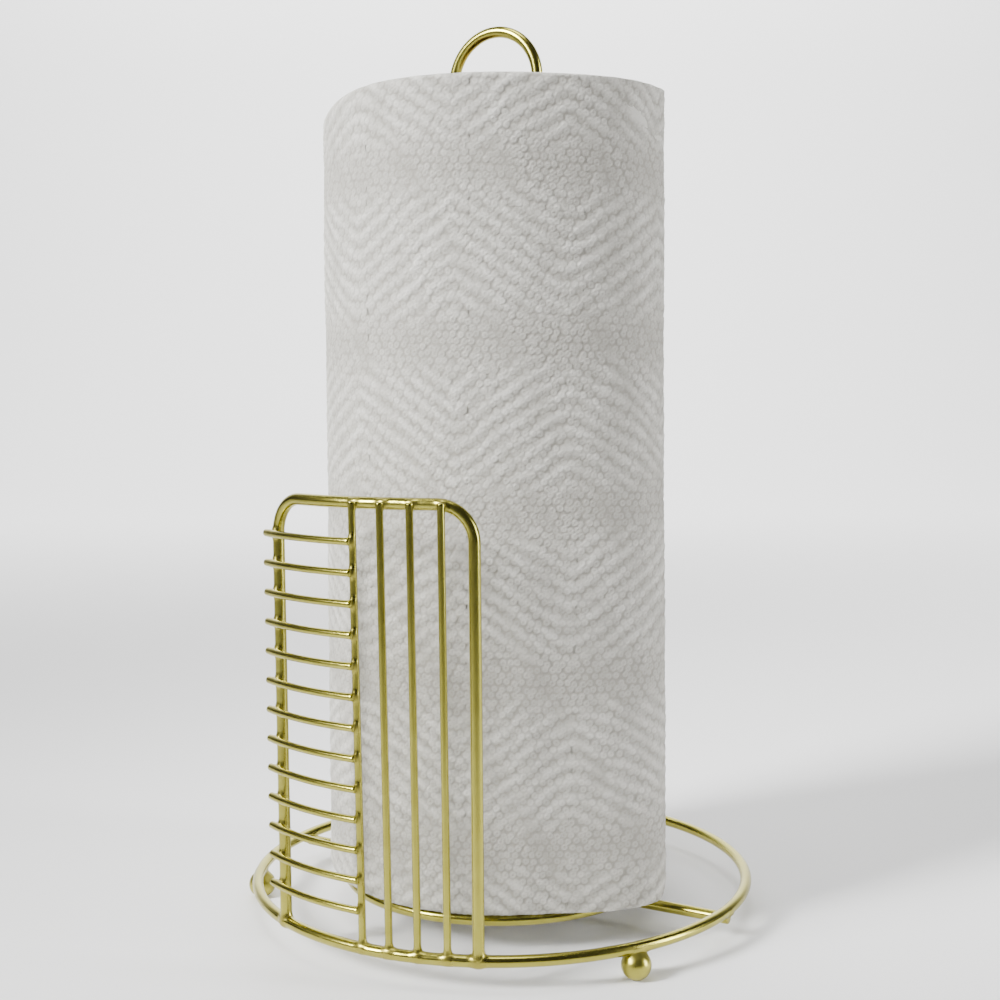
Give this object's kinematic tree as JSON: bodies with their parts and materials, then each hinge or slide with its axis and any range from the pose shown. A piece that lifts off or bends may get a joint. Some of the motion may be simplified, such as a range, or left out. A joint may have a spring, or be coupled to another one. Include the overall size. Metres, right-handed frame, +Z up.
{
  "type": "paper towel holder",
  "caption": "Free-standing welded wire paper towel holder: base ring on ball feet, looped centre post, curved wire side panel, and a full embossed roll that spins and lifts off.",
  "frame": {"origin": "on the floor plane, on the axis of the post and of both rings", "axes": "+Z up along the post; -Y towards the viewer, with the side panel at front left; +X to the viewer's right"},
  "size_m": [0.189, 0.186, 0.3221],
  "materials": {
    "gold_heavy_wire": "satin",
    "gold_fine_wire": "satin",
    "gold_ball": "satin",
    "core_board": "matte",
    "towel_paper": "matte"
  },
  "bodies": {
    "holder": {"outer_ring": "gold_heavy_wire", "cross_wire": "gold_heavy_wire", "support_ring": "gold_heavy_wire", "centre_post": "gold_heavy_wire", "side_frame": "gold_heavy_wire", "ball_foot_1": "gold_ball", "ball_foot_2": "gold_ball", "ball_foot_3": "gold_ball", "upright_1": "gold_fine_wire", "upright_2": "gold_fine_wire", "upright_3": "gold_fine_wire", "upright_4": "gold_fine_wire", "cross_bar_01": "gold_fine_wire", "cross_bar_02": "gold_fine_wire", "cross_bar_03": "gold_fine_wire", "cross_bar_04": "gold_fine_wire", "cross_bar_05": "gold_fine_wire", "cross_bar_06": "gold_fine_wire", "cross_bar_07": "gold_fine_wire", "cross_bar_08": "gold_fine_wire", "cross_bar_09": "gold_fine_wire", "cross_bar_10": "gold_fine_wire", "cross_bar_11": "gold_fine_wire", "cross_bar_12": "gold_fine_wire", "cross_bar_13": "gold_fine_wire"},
    "roll_core": {"cardboard_core": "core_board"},
    "roll": {"paper_roll": "towel_paper"}
  },
  "joints": [
    {"name": "roll_lift", "type": "slide", "parent": "holder", "child": "roll_core", "axis": [0, 0, 1], "range_m": [0, 0.32]},
    {"name": "roll_spin", "type": "hinge", "parent": "roll_core", "child": "roll", "pos_m": [0, 0, 0.1538], "axis": [0, 0, 1], "continuous": true}
  ]
}
